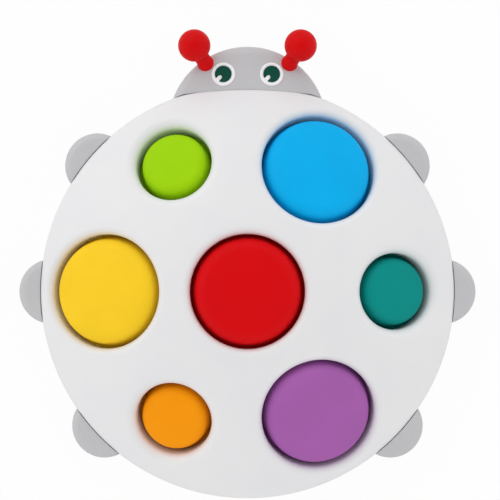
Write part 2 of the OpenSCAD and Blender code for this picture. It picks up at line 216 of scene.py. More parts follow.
def holed_ball(radius, rim, holes, spacing):
    """The body's ball of a radius, inside a rim loop and outside the holes: z follows from
    x and y as the height of the ball. Points keep clear of the loops by 0.7 of the spacing,
    so that no triangle there is a sliver."""
    clearance = 0.7 * spacing
    reach = np.abs(rim[:, :2]).max()
    step_y = spacing * math.sqrt(3) / 2
    rows = np.arange(-reach, reach, step_y)
    columns = np.arange(-reach, reach, spacing)
    x, y = np.meshgrid(columns, rows)
    x = x + np.where(np.arange(len(rows)) % 2, spacing / 2, 0)[:, None]
    fill = np.stack([x.ravel(), y.ravel()], 1)
    fill = fill[encloses(rim, fill)]
    for hole in holes:
        fill = fill[~encloses(hole, fill)]
    borders = np.concatenate([rim] + holes)[:, :2]
    clear = np.ones(len(fill), bool)
    for part in np.array_split(borders, 12):
        gap = np.linalg.norm(fill[:, None] - part[None], axis=2).min(1)
        clear &= gap > clearance
    fill = fill[clear]
    points = np.concatenate([borders, fill])
    edges = []
    start = 0
    for loop in [rim] + holes:
        here = np.arange(len(loop)) + start
        edges.extend(np.stack([here, np.roll(here, -1)], 1).tolist())
        start += len(loop)
    out = delaunay_2d_cdt(points.tolist(), edges, [], 0, 1e-6, False)
    flat = np.array([tuple(point) for point in out[0]])
    faces = np.array(out[2])
    centre = flat[faces].mean(1)
    keep = encloses(rim, centre)
    for hole in holes:
        keep &= ~encloses(hole, centre)
    z = ball_height(radius, flat[:, 0], flat[:, 1])
    return np.column_stack([flat, z]), faces[keep]


# %% [markdown]
# A piece is made of patches that share their borders. Once the double points there are
# merged, the piece is one closed skin, and its faces can be turned to point outwards. Edges
# sharper than the given angle stay crisp, all others are smooth.

# %% Turning patches into a piece
def make_piece(name, patches, material, body="body", replaces=(), sharp=40):
    """Joins patches of (points, faces) into one closed mesh at its place in the frame."""
    points = np.concatenate([patch[0] for patch in patches]) * MM
    faces = []
    start = 0
    for patch in patches:
        faces.extend((patch[1] + start).tolist())
        start += len(patch[0])
    mesh = bpy.data.meshes.new(name)
    mesh.from_pydata(points.tolist(), [], faces)
    skin = bmesh.new()
    skin.from_mesh(mesh)
    bmesh.ops.remove_doubles(skin, verts=skin.verts, dist=3e-6)
    bmesh.ops.dissolve_degenerate(skin, edges=skin.edges, dist=1e-7)
    bmesh.ops.recalc_face_normals(skin, faces=skin.faces)
    odd = sum(not edge.is_manifold for edge in skin.edges)
    skin.to_mesh(mesh)
    skin.free()
    mesh.shade_smooth()
    mesh.set_sharp_from_angle(angle=math.radians(sharp))
    mesh.materials.append(material)
    piece = bpy.data.objects.new(name, mesh)
    bpy.context.scene.collection.objects.link(piece)
    if body:
        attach(piece, body)
    if replaces:
        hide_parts(*replaces)
    print(name, len(mesh.polygons), "faces,", odd, "edges not shared by two faces")
    return piece


def rounded_copy(node, material, sharp=30, body="body"):
    """A copy of a CAD node's mesh with its loose triangles merged and its curves smooth."""
    name = node + "_finished"
    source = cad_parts[node]
    mesh = source.data.copy()
    mesh.name = name
    skin = bmesh.new()
    skin.from_mesh(mesh)
    bmesh.ops.remove_doubles(skin, verts=skin.verts, dist=1e-6)
    skin.to_mesh(mesh)
    skin.free()
    mesh.shade_smooth()
    mesh.set_sharp_from_angle(angle=math.radians(sharp))
    mesh.materials.clear()
    mesh.materials.append(material)
    piece = bpy.data.objects.new(name, mesh)
    bpy.context.scene.collection.objects.link(piece)
    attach(piece, body)
    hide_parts(node)
    print(name, len(mesh.polygons), "faces")
    return piece


# %% [markdown]
# ## Finishes
# Moulded plastic is never quite one colour or one gloss: it has a fine grain from the
# mould, faint clouds where it cooled unevenly, and specks of dust. One builder makes all
# the finishes from those parts, and can add painted shade deep in crevices. Its noises read
# Object coordinates in metres, so that a grain of 0.4 mm is that size on every piece. The
# painted shade reads an attribute of the mesh, which says how deep each point lies.

# %% A builder for moulded finishes
CLOUD_MM = 22.0
SPECK_MM = 1.1
SMUDGE_MM = 9.0


def srgb(*levels):
    """A colour as the shader takes it: levels of 0 to 255, made linear by the sRGB curve."""
    share = np.array(levels) / 255
    linear = np.where(share > 0.04045, ((share + 0.055) / 1.055) ** 2.4, share / 12.92)
    return (*linear.tolist(), 1.0)


def noise(tree, place, size_mm, detail, roughness=0.5):
    """A noise whose blotches are about size_mm across."""
    node = tree.nodes.new("ShaderNodeTexNoise")
    node.inputs["Scale"].default_value = 1 / (size_mm * MM)
    node.inputs["Detail"].default_value = detail
    node.inputs["Roughness"].default_value = roughness
    tree.links.new(place, node.inputs["Vector"])
    return node.outputs["Fac"]


def spread(tree, value, low, high, start=0.3, end=0.7):
    """Maps a value from the range start to end onto the range low to high."""
    node = tree.nodes.new("ShaderNodeMapRange")
    node.inputs["From Min"].default_value = start
    node.inputs["From Max"].default_value = end
    node.inputs["To Min"].default_value = low
    node.inputs["To Max"].default_value = high
    tree.links.new(value, node.inputs["Value"])
    return node.outputs["Result"]


def mix_colour(tree, share, first, second):
    """A colour between two others, by a share of 0 to 1. Each is a colour or an output."""
    node = tree.nodes.new("ShaderNodeMix")
    node.data_type = "RGBA"
    tree.links.new(share, node.inputs["Factor"])
    for socket, colour in ((node.inputs[6], first), (node.inputs[7], second)):
        if isinstance(colour, tuple):
            socket.default_value = colour
        else:
            tree.links.new(colour, socket)
    return node.outputs[2]


def moulded(name, colour, cloud, shaded_colour, gloss, matt, grain_mm, grain_depth_mm, specks=0.0,
            speck_colour=None, specular=0.5):
    """A finish of one colour with clouds of a second, a third painted as shade far into
    crevices, dusty specks and a fine grain. Its roughness runs from gloss to matt in smudges."""
    material = bpy.data.materials.new(name)
    material.use_nodes = True
    tree = material.node_tree
    shader = tree.nodes["Principled BSDF"]
    place = tree.nodes.new("ShaderNodeTexCoord").outputs["Object"]
    clouds = spread(tree, noise(tree, place, CLOUD_MM, 4), 0.0, 1.0)
    paint = mix_colour(tree, clouds, colour, cloud)
    # painted shade: a darker third colour, mixed in by each point's stored share
    if shaded_colour is not None:
        painted_shade = tree.nodes.new("ShaderNodeAttribute")
        painted_shade.attribute_name = "painted_shade"
        paint = mix_colour(tree, painted_shade.outputs["Fac"], paint, shaded_colour)
    if specks:
        dust_and_shade = spread(tree, noise(tree, place, SPECK_MM, 3, 0.6), 0.0, specks,
                      start=0.66, end=0.74)
        paint = mix_colour(tree, dust_and_shade, paint, speck_colour)
    tree.links.new(paint, shader.inputs["Base Color"])
    smudge = noise(tree, place, SMUDGE_MM, 5, 0.62)
    tree.links.new(spread(tree, smudge, gloss, matt), shader.inputs["Roughness"])
    bump = tree.nodes.new("ShaderNodeBump")
    bump.inputs["Strength"].default_value = 1.0
    bump.inputs["Distance"].default_value = grain_depth_mm * MM
    tree.links.new(noise(tree, place, grain_mm, 2), bump.inputs["Height"])
    tree.links.new(bump.outputs["Normal"], shader.inputs["Normal"])
    shader.inputs["Specular IOR Level"].default_value = specular
    return material


def mark_painted_shade(piece, share):
    """Stores each point's share of painted shade, by how far it lies into a hollow: 0 on its
    open faces, 1 where the shade is darkest."""
    layer = piece.data.attributes.new("painted_shade", "FLOAT", "POINT")
    layer.data.foreach_set("value", np.clip(share, 0, 1).astype(np.float32))


def points_of(piece):
    """A piece's points in millimetres, as rows of xyz."""
    points = np.empty(len(piece.data.vertices) * 3)
    piece.data.vertices.foreach_get("co", points)
    return points.reshape(-1, 3) / MM


# %% [markdown]
# The finishes follow the real plastics: a satin white for the body, a finely textured grey
# for the head and feet, glossier white eyes with green pupils, and silicone that is dull
# with a few specks of dust. The whites and the silicone each carry a darker colour as
# painted shade low in the wells. The screws are plated steel.

# %% The finishes
# the third colour of each white is painted shade for the foot of a well's wall
body_white = moulded("body_white", srgb(233, 233, 234), srgb(230, 230, 232),
                     srgb(140, 138, 134), 0.36, 0.46, 0.5, 0.006, specks=0.12,
                     speck_colour=srgb(200, 198, 194))
back_white = moulded("back_white", srgb(232, 232, 233), srgb(228, 228, 230),
                     srgb(140, 138, 134), 0.4, 0.52, 0.5, 0.008, specks=0.15,
                     speck_colour=srgb(200, 198, 194))
head_grey = moulded("head_grey", srgb(195, 195, 197), srgb(191, 191, 194),
                    None, 0.42, 0.54, 0.45, 0.012)
eye_white = moulded("eye_white", srgb(249, 249, 249), srgb(246, 246, 247),
                    None, 0.2, 0.3, 0.6, 0.002)
pupil_green = moulded("pupil_green", srgb(4, 76, 60), srgb(4, 70, 56),
                      None, 0.22, 0.32, 0.6, 0.002, specular=0.2)
antenna_red = moulded("antenna_red", srgb(214, 0, 6), srgb(208, 0, 5),
                      None, 0.4, 0.54, 0.45, 0.006, specular=0.1)

SILICONE = {"red": (219, 0, 8), "blue": (0, 177, 241), "green": (161, 217, 2),
            "yellow": (254, 209, 37), "orange": (255, 156, 0), "purple": (169, 97, 173),
            "teal": (0, 143, 136)}
CLOUD_SHARE = 0.97
# the silicone's painted shade: its own colour at this share, low on a bubble's side
SHADE_SHARE = 0.7
silicone = {}
for name, levels in SILICONE.items():
    cloud = [CLOUD_SHARE * level for level in levels]
    shaded_colour = [SHADE_SHARE * level for level in levels]
    silicone[name] = moulded(name + "_silicone", srgb(*levels), srgb(*cloud), srgb(*shaded_colour),
                             0.5, 0.62, 0.35, 0.006, specks=0.05,
                             speck_colour=srgb(*(0.6 * level + 80 for level in levels)),
                             specular=0.1)

screw_steel = moulded("screw_steel", srgb(150, 151, 154), srgb(138, 139, 142),
                      None, 0.26, 0.42, 0.4, 0.004)
screw_steel.node_tree.nodes["Principled BSDF"].inputs["Metallic"].default_value = 1.0
print("finishes", [material.name for material in bpy.data.materials])

# %% [markdown]
# ## The front shell
# The front of the body is a domed disc with seven wells. It could be a Boolean cut from a
# ball, but here each border is worked out: the dome is a ball with seven round holes, each
# lip is part of a torus that runs smoothly out of the dome, and the rim is turned. Inside,
# collars press on the silicone flanges and posts take the screws.

# %% Where the wells and the screws are
def well_place(size, turn, in_ring):
    """The middle of the body's ball, with its axis through a well."""
    return Place((0, 0, DOME_Z), tilt(size, in_ring), turn)


def mouth(size, ball_r, lip_r, out):
    """Centre height of a lip's rounding, and the radius and height where it meets the ball.
    The lip turns out over the front (out = 1) or the back (out = -1)."""
    height = math.sqrt((ball_r - out * lip_r) ** 2 - (size["well_r"] + lip_r) ** 2)
    share = ball_r / (ball_r - out * lip_r)
    return height, share * (size["well_r"] + lip_r), share * height


def screw_seat(radius):
    """Height of a screw head's seat above the table."""
    return DOME_Z + math.sqrt(BACK_R ** 2 - radius ** 2) + SEAT_DEPTH


def post_places():
    """A place on each screw's axis, at the height of its head's seat."""
    for radius, turn in SCREWS:
        angle = math.radians(turn)
        yield Place((radius * math.cos(angle), radius * math.sin(angle), screw_seat(radius)))


def on_ball(place, radius, ball_r, steps):
    """A circle round an upright axis, lifted onto the body's ball of a radius."""
    points = ring(place, radius, 0.0, steps)
    points[:, 2] = ball_height(ball_r, points[:, 0], points[:, 1])
    return points


def stacked(rings):
    """A closed patch from rings of points, one above the other."""
    return grid_patch(np.stack(rings), closed=True)


# %% [markdown]
# Each well is a turned patch: from its lip on the dome, down its wall, round the end of its
# collar and up again to the skin inside. Each post is one from that skin down to the post's
# end and up its bore. The circles where they meet the two skins are kept, because the skins
# need holes there.

# %% The wells and posts of the front shell
POST_STEPS = 40
EDGE = 0.25
skin_r = DOME_R - WALL

patches = []
front_holes = []
inner_holes = []
for name, size, turn, in_ring in WELLS:
    place = well_place(size, turn, in_ring)
    lip_r = size["lip_r"]
    lip_h, mouth_r, mouth_h = mouth(size, DOME_R, lip_r, 1)
    well_r = size["well_r"]
    collar_r = well_r + COLLAR_W
    collar_h = math.sqrt(skin_r ** 2 - collar_r ** 2)
    ray = math.degrees(math.atan2(mouth_h, mouth_r))
    profile = np.concatenate([
        arc((well_r + lip_r, lip_h), lip_r, ray, 180, 14),
        line((well_r, lip_h), (well_r, FLANGE_TOP + EDGE), 5)[1:],
        arc((well_r + EDGE, FLANGE_TOP + EDGE), EDGE, 180, 270, 4)[1:],
        line((well_r + EDGE, FLANGE_TOP), (collar_r, FLANGE_TOP), 3)[1:],
        line((collar_r, FLANGE_TOP), (collar_r, collar_h), 4)[1:]])
    patches.append(turned(profile, place, size["steps"]))
    front_holes.append(ring(place, mouth_r, mouth_h, size["steps"]))
    inner_holes.append(ring(place, collar_r, collar_h, size["steps"]))

for place in post_places():
    landing = on_ball(place, FRONT_POST_R, skin_r, POST_STEPS)
    inner_holes.append(landing)
    patches.append(stacked([
        landing,
        ring(place, FRONT_POST_R, SEAT_FLOOR, POST_STEPS),
        ring(place, BORE_R, SEAT_FLOOR, POST_STEPS),
        ring(place, BORE_R, BORE_DEPTH, POST_STEPS),
        ring(place, 0.0, BORE_DEPTH, POST_STEPS)]))

# %% [markdown]
# The rim is one more turned patch, from the edge of the dome over its rounding, down the
# side and back up the inside. Two parts of a ball, the dome and the skin inside it, close
# the piece between the rim, the wells and the posts.

# %% The rim and the two skins of the front shell
RIM_STEPS = 288
FRONT_SPACING = 2.2
HIDDEN_SPACING = 4.0
inner_r = BODY_R - WALL
rim_ray = math.degrees(math.acos(RIM_EDGE_R / DOME_R))
rim_profile = np.concatenate([
    arc((BODY_R - RIM_ROUND, SIDE_H), RIM_ROUND, rim_ray, 0, 16),
    line((BODY_R, SIDE_H), (BODY_R, SPLIT_H + EDGE), 4)[1:],
    arc((BODY_R - EDGE, SPLIT_H + EDGE), EDGE, 0, -90, 4)[1:],
    line((BODY_R - EDGE, SPLIT_H), (inner_r, SPLIT_H), 3)[1:],
    line((inner_r, SPLIT_H), (inner_r, ball_height(skin_r, inner_r, 0)), 5)[1:]])
patches.append(turned(rim_profile, WORLD, RIM_STEPS))
patches.append(holed_ball(DOME_R, ring(WORLD, rim_profile[0, 0], rim_profile[0, 1], RIM_STEPS),
                          front_holes, FRONT_SPACING))
patches.append(holed_ball(skin_r, ring(WORLD, inner_r, rim_profile[-1, 1], RIM_STEPS),
                          inner_holes, HIDDEN_SPACING))
front_shell = make_piece("front_shell_finished", patches, body_white,
                         replaces=["front_shell"])

# %% [markdown]
# The foot of a well's wall is painted darker than the open dome, as painted shade. A point
# of the wall is known by its distance from the well's axis, and its depth below the lip gives
# its share of painted shade. A painted map could do the same, but would have to be redrawn
# whenever a size changes.

# %% Painted shade in the wells
SHADE_START = 2.5
SHADE_DEPTH = 6.5


def well_painted_shade(piece, sizes_of_lip):
    """How much painted shade each point of a well's wall gets: it grows from nothing a little
    below the lip to the well's own share further down."""
    points = points_of(piece)
    share = np.zeros(len(points))
    for name, size, turn, in_ring in WELLS:
        place = well_place(size, turn, in_ring)
        out, lip_h = sizes_of_lip(size)
        height = (points - place.origin) @ place.z
        reach = np.linalg.norm(points - place.origin - height[:, None] * place.z, axis=1)
        inside = reach < size["well_r"] + EDGE
        depth = (out * (lip_h - height) - SHADE_START) / (SHADE_DEPTH - SHADE_START)
        share = np.maximum(share, np.where(inside, size["dust_and_shade"] * np.clip(depth, 0, 1), 0))
    return share


# painted shade on the front wells' walls, growing with depth below the lip
mark_painted_shade(front_shell, well_painted_shade(front_shell, lambda size: (
    1, mouth(size, DOME_R, size["lip_r"], 1)[0])))

# %% [markdown]
# ## The rear shell
# The back is a dish: a flat ring to rest on, and inside it a plate that follows the dome,
# with the same seven wells. Each screw sits in a round recess with a hole for its shank.
# It is made as the front shell is: turned patches for the wells, the recesses and the side,
# and two parts of a ball between them.

# %% The wells and recesses of the rear shell
plate_r = BACK_R + WALL
patches = []
back_holes = []
plate_holes = []
for name, size, turn, in_ring in WELLS:
    place = well_place(size, turn, in_ring)
    lip_h, mouth_r, mouth_h = mouth(size, BACK_R, BACK_LIP_R, -1)
    well_r = size["well_r"]
    collar_r = well_r + COLLAR_W
    collar_h = math.sqrt(plate_r ** 2 - collar_r ** 2)
    ray = math.degrees(math.atan2(mouth_h, mouth_r))
    profile = np.concatenate([
        arc((well_r + BACK_LIP_R, lip_h), BACK_LIP_R, ray + 180, 180, 10),
        line((well_r, lip_h), (well_r, FLANGE_LOW - EDGE), 4)[1:],
        arc((well_r + EDGE, FLANGE_LOW - EDGE), EDGE, 180, 90, 4)[1:],
        line((well_r + EDGE, FLANGE_LOW), (collar_r, FLANGE_LOW), 3)[1:],
        line((collar_r, FLANGE_LOW), (collar_r, collar_h), 3)[1:]])
    patches.append(turned(profile, place, size["steps"]))
    back_holes.append(ring(place, mouth_r, mouth_h, size["steps"]))
    plate_holes.append(ring(place, collar_r, collar_h, size["steps"]))

for place in post_places():
    recess = on_ball(place, RECESS_R, BACK_R, POST_STEPS)
    landing = on_ball(place, SEAT_POST_R, plate_r, POST_STEPS)
    back_holes.append(recess)
    plate_holes.append(landing)
    patches.append(stacked([
        recess,
        ring(place, RECESS_R, 0.0, POST_STEPS),
        ring(place, SHANK_HOLE_R, 0.0, POST_STEPS),
        ring(place, SHANK_HOLE_R, SEAT_FLOOR, POST_STEPS),
        ring(place, SEAT_POST_R, SEAT_FLOOR, POST_STEPS),
        landing]))

# %% The side and the two skins of the rear shell
BACK_SPACING = 2.4
ring_r = BODY_R - RING_W
side_profile = np.concatenate([
    line((ring_r, ball_height(BACK_R, ring_r, 0)), (ring_r, EDGE), 3),
    arc((ring_r + EDGE, EDGE), EDGE, 180, 270, 4)[1:],
    line((ring_r + EDGE, 0), (BODY_R - RING_ROUND, 0), 3)[1:],
    arc((BODY_R - RING_ROUND, RING_ROUND), RING_ROUND, -90, 0, 7)[1:],
    line((BODY_R, RING_ROUND), (BODY_R, SPLIT_H - EDGE), 8)[1:],
    arc((BODY_R - EDGE, SPLIT_H - EDGE), EDGE, 0, 90, 4)[1:],
    line((BODY_R - EDGE, SPLIT_H), (inner_r, SPLIT_H), 3)[1:],
    line((inner_r, SPLIT_H), (inner_r, ball_height(plate_r, inner_r, 0)), 8)[1:]])
patches.append(turned(side_profile, WORLD, RIM_STEPS))
patches.append(holed_ball(BACK_R, ring(WORLD, ring_r, side_profile[0, 1], RIM_STEPS),
                          back_holes, BACK_SPACING))
patches.append(holed_ball(plate_r, ring(WORLD, inner_r, side_profile[-1, 1], RIM_STEPS),
                          plate_holes, HIDDEN_SPACING))
rear_shell = make_piece("rear_shell_finished", patches, back_white,
                        replaces=["rear_shell"])
# painted shade on the rear wells' walls too, growing with depth below their lips
mark_painted_shade(rear_shell, well_painted_shade(rear_shell, lambda size: (
    -1, mouth(size, BACK_R, BACK_LIP_R, -1)[0])))

# %% [markdown]
# ## The bubbles
# A bubble is one moulding: a slightly domed crown, a rounded shoulder, a thin side, a flat
# flange that the shells clamp, and a bead round the flange. It is a turned shape with a
# wall, made here as it rests. When a bubble pops, its side rolls over and the dome turns
# inside out; only the two ends of that roll are worked out below, and the bubble is not
# moved.

# %% The half section of a bubble
SIDE_T = 1.2
CROWN_T = 1.6
BEAD_T = 3.4
BEAD_W = 1.3
BEAD_ROUND = 0.4
FOOT_FILLET = 0.6
DRAFT = 12


def dome_arcs(top, crown_r, shoulder_r, side_r):
    """Crown and shoulder of a dome: two arcs that share a tangent. The shoulder ends where
    it leans out by the side's draft."""
    crown_z = top - crown_r
    corner_x = side_r - shoulder_r
    corner_z = crown_z + math.sqrt((crown_r - shoulder_r) ** 2 - corner_x ** 2)
    ray = math.degrees(math.atan2(corner_z - crown_z, corner_x))
    return np.concatenate([
        arc((0, crown_z), crown_r, 90, ray, 26),
        arc((corner_x, corner_z), shoulder_r, ray, DRAFT, 16)[1:]])


def side_end(shoulder_end, height):
    """Radius that a side reaches at a height: it leans out by tan(draft) for each unit down
    from the end of the shoulder."""
    return shoulder_end[0] + (shoulder_end[1] - height) * math.tan(math.radians(DRAFT))


def bubble_profile(size):
    """Half section of a bubble, from the top of its crown round to its hollow underside."""
    side_r = size["well_r"] - size["groove"]
    bead_x = size["well_r"] + COLLAR_W + 2 * FIT
    top = FLANGE_TOP + size["rise"]
    outer = dome_arcs(top, size["crown_r"], size["shoulder_r"], side_r)
    inner = dome_arcs(top - CROWN_T, size["crown_r"] - CROWN_T,
                      size["shoulder_r"] - SIDE_T, side_r - SIDE_T)[::-1]
    base_r = side_end(outer[-1], FLANGE_TOP + FOOT_FILLET)
    hollow_r = side_end(inner[0], FLANGE_LOW + FOOT_FILLET)
    bead_top = (FLANGE_TOP + FLANGE_LOW + BEAD_T) / 2
    bead_low = bead_top - BEAD_T
    end = bead_x + BEAD_W
    return np.concatenate([
        outer,
        line(outer[-1], (base_r, FLANGE_TOP + FOOT_FILLET), 9)[1:],
        arc((base_r + FOOT_FILLET, FLANGE_TOP + FOOT_FILLET), FOOT_FILLET, 180, 270, 6)[1:],
        line((base_r + FOOT_FILLET, FLANGE_TOP), (bead_x, FLANGE_TOP), 3)[1:],
        [(bead_x, bead_top)],
        arc((end - BEAD_ROUND, bead_top - BEAD_ROUND), BEAD_ROUND, 90, 0, 5),
        arc((end - BEAD_ROUND, bead_low + BEAD_ROUND), BEAD_ROUND, 0, -90, 5),
        line((bead_x, bead_low), (bead_x, FLANGE_LOW), 2),
        line((bead_x, FLANGE_LOW), (hollow_r + FOOT_FILLET, FLANGE_LOW), 3)[1:],
        arc((hollow_r + FOOT_FILLET, FLANGE_LOW + FOOT_FILLET), FOOT_FILLET, 270, 180, 5)[1:],
        line((hollow_r, FLANGE_LOW + FOOT_FILLET), inner[0], 9)[1:],
        inner[1:]])


# %% [markdown]
# Each section is turned about its well's axis. The lower part of the bubble's side is painted
# darker, as painted shade. The ends of the roll are worked out, one at the flange and one that
# ROLL_REACH puts a little above the crown, but nothing here moves the bubble. Such a roll has
# a
# limit: a point's share of the travel depends on its height alone. The front face of the wall
# stands higher than the back face and moves further, so past 40 % of the travel the two pass
# through each other. An opaque rubber of one colour hides that, and a clear one would show it.

# %% The seven bubbles
ROLL_REACH = 1.18
UNSHADED_SHARE = 0.5

for name, size, turn, in_ring in WELLS:
    place = well_place(size, turn, in_ring)
    bubble = make_piece(name + "_bubble_finished",
                        [turned(bubble_profile(size), place, size["steps"])],
                        silicone[name], body=None,
                        replaces=[name + "_crown", name + "_skirt"])
    # painted shade: the bubble's side darkens from half its rise down to the flange
    height = (points_of(bubble) - place.origin) @ place.z - FLANGE_TOP
    low = np.clip((UNSHADED_SHARE - height / size["rise"]) / UNSHADED_SHARE, 0, 1)
    mark_painted_shade(bubble, size["dust_and_shade"] * low)
    still = place.point(FLANGE_TOP) * MM
    moving = place.point(FLANGE_TOP + ROLL_REACH * size["rise"]) * MM
    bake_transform(bubble)

# %% [markdown]
# ## The feet and the head
# The head and the feet are turned shapes that stand against the body: their outlines are
# circles, and the body cuts into them. A Boolean would do it, but its edges are ragged.
# Here each direction round the turned shape is cut on its own: the section is followed from
# the point where it leaves the body on top to the point where it meets the body again
# below, and a wall of the same rows closes the cut.

# %% Where the side of the body is
LEAN = math.acos(RIM_EDGE_R / DOME_R)


def body_reach(height):
    """Radius of the body's side with its gap, or of the cone that leans on the dome where
    the rim's rounding begins, at a height."""
    off = (RIM_EDGE_R * math.cos(LEAN)
           + math.sqrt(DOME_R ** 2 - RIM_EDGE_R ** 2) * math.sin(LEAN) + FIT)
    cone = (off - (height - DOME_Z) * math.sin(LEAN)) / math.cos(LEAN)
    return np.minimum(BODY_R + FIT, cone)


# %% A turned shape that the body cuts
SECTION_POINTS = 4000
HALVINGS = 44


def along(section, count):
    """Evenly spaced points along a section: its length is measured and shared out."""
    length = np.concatenate([[0], np.cumsum(np.linalg.norm(np.diff(section, axis=0), axis=1))])
    where = np.linspace(0, length[-1], count)
    return np.stack([np.interp(where, length, section[:, axis]) for axis in (0, 1)], 1)


def leaning_turned(section, centre_y, columns, rows, soften):
    """A section of (radius, height) turned about an upright axis at (0, centre_y) and cut by
    the body. For each direction the two points where the section crosses the body are
    found by halving, and the section is sampled between them. The wall joins the two along
    the body: bearing and height run evenly, and the radius is the body's. The top edge is
    rounded: that many rows of shape and wall as soften says follow one quadratic curve,
    which the old edge pulls towards itself."""
    fine = along(section, SECTION_POINTS)
    widest = fine[:, 0].max()
    middle = np.flatnonzero(fine[:, 0] > widest - 1e-6).mean()
    # By the law of cosines, the widest circle meets the body's side in two directions, and
    # those between them stand free.
    side = BODY_R + FIT
    end = math.asin((side ** 2 - widest ** 2 - centre_y ** 2) / (2 * widest * centre_y)) + 1e-5
    angle = np.linspace(end, math.pi - end, columns)

    def spot(at):
        """Points of the turned shape: column by column, at a place along the section."""
        radius = np.interp(at, np.arange(len(fine)), fine[:, 0])
        height = np.interp(at, np.arange(len(fine)), fine[:, 1])
        turn = angle[:, None] if at.ndim == 2 else angle
        return np.stack([radius * np.cos(turn), centre_y + radius * np.sin(turn), height], -1)

    def crossing(start):
        """Halves the span between the middle of the side and start until it is nil."""
        outside = np.full(columns, middle)
        within = np.full(columns, float(start))
        for _ in range(HALVINGS):
            half = (outside + within) / 2
            point = spot(half)
            out = np.hypot(point[:, 0], point[:, 1]) > body_reach(point[:, 2])
            outside = np.where(out, half, outside)
            within = np.where(out, within, half)
        return outside

    top, low = crossing(0), crossing(len(fine) - 1)
    share = np.linspace(0, 1, rows)[None]
    shape = spot(top[:, None] + (low - top)[:, None] * share)
    first, last = shape[:, 0], shape[:, -1]
    height = first[:, 2, None] + (last[:, 2] - first[:, 2])[:, None] * share
    bearing = [np.arctan2(edge[:, 1], edge[:, 0])[:, None] for edge in (first, last)]
    turn = bearing[0] + (bearing[1] - bearing[0]) * share
    reach = body_reach(height)
    wall = np.stack([reach * np.cos(turn), reach * np.sin(turn), height], -1)
    wall[[0, -1]] = shape[[0, -1]]
    wall[:, 0] = first
    wall[:, -1] = last
    if soften:
        here, there, tip = shape[:, soften].copy(), wall[:, soften].copy(), first.copy()
        for step in range(soften + 1):
            share = 0.5 + step / (2 * soften)
            for grid, out in ((shape, share), (wall, 1 - share)):
                grid[:, step] = (out ** 2 * here + 2 * out * (1 - out) * tip
                                 + (1 - out) ** 2 * there)
    return [grid_patch(shape), grid_patch(wall)]


def swung(patches, turn):
    """Patches turned about the body's axis, from the direction of +Y to turn degrees."""
    angle = math.radians(turn - 90)
    matrix = np.array([[math.cos(angle), math.sin(angle), 0],
                       [-math.sin(angle), math.cos(angle), 0], [0, 0, 1]])
    return [(points @ matrix, faces) for points, faces in patches]


# %% [markdown]
# A foot is a round button with a flat top and bottom and well-rounded edges. Its top stands
# a little above the body's straight side, so that a fine dark groove runs between them.

# %% The feet
FOOT_R = 14.1
FOOT_TOP = 20.0
FOOT_Z = 3.0
FOOT_ROUND = 3.2
FOOT_RING_R = BODY_R - 4.7
FEET = {"foot_right": 0, "foot_upper_right": 40, "foot_upper_left": 140,
        "foot_left": 180, "foot_lower_left": 223.1, "foot_lower_right": 316.9}

bend = FOOT_R - FOOT_ROUND
foot_section = np.concatenate([
    line((0, FOOT_TOP), (bend, FOOT_TOP), 2),
    arc((bend, FOOT_TOP - FOOT_ROUND), FOOT_ROUND, 90, 0, 40),
    arc((bend, FOOT_Z + FOOT_ROUND), FOOT_ROUND, 0, -90, 40),
    line((bend, FOOT_Z), (0, FOOT_Z), 2)])
foot_patches = leaning_turned(foot_section, FOOT_RING_R, columns=96, rows=90, soften=3)
for name, turn in FEET.items():
    make_piece(name + "_finished", swung(foot_patches, turn), head_grey, replaces=[name])

# %% [markdown]
# The head's front half is a shallow dome with a rounded edge that laps over the body's rim
# in a fine softened edge. The rear half's CAD solid has the right shape already, so a
# smoothed copy of it is enough.

# %% The head
HEAD_R = 34.5
HEAD_Y = BODY_R - 17.8
HEAD_H = SIDE_H + 4.0
HEAD_DOME_R = 220.0
HEAD_ROUND = 4.0
HEAD_EDGE = 0.3

head_ball_z = HEAD_H - HEAD_DOME_R
corner_r = HEAD_R - HEAD_ROUND
corner_z = head_ball_z + math.sqrt((HEAD_DOME_R - HEAD_ROUND) ** 2 - corner_r ** 2)
head_ray = math.degrees(math.atan2(corner_z - head_ball_z, corner_r))
front_section = np.concatenate([
    arc((0, head_ball_z), HEAD_DOME_R, 90, head_ray, 60),
    arc((corner_r, corner_z), HEAD_ROUND, head_ray, 0, 40)[1:],
    arc((HEAD_R - HEAD_EDGE, SPLIT_H + HEAD_EDGE), HEAD_EDGE, 0, -90, 8),
    line((HEAD_R - HEAD_EDGE, SPLIT_H), (0, SPLIT_H), 2)[1:]])
head_patches = leaning_turned(front_section, HEAD_Y, columns=240, rows=110, soften=4)
make_piece("head_front_finished", head_patches, head_grey, replaces=["head_front"],
           sharp=50)
rounded_copy("head_rear", head_grey)

# %% [markdown]
# The eyes are thin white discs with dark pupils let into them. Their CAD solids have the
# right shape already, so a smoothed copy of each is enough.

# %% The eyes and the screws
for side in ("right", "left"):
    rounded_copy("eye_" + side, eye_white)
    rounded_copy("pupil_" + side, pupil_green)
rounded_copy("body_screws", screw_steel)
rounded_copy("head_screws", screw_steel)

# %% [markdown]
# ## The antennae
# An antenna is one turned moulding: a round root that sits on the head's edge, a short
# stalk, and a ball. The stalk runs into the ball through a small hollow fillet.

# %% The antennae
ROOT_R = 3.7
STALK_R = 3.3
STALK_LEN = 11.0
BALL_R = 7.0
FILLET_R = 1.0
ANTENNA_TURN = 34
ANTENNA_RISE = 40
ANTENNA_SEAT = 57

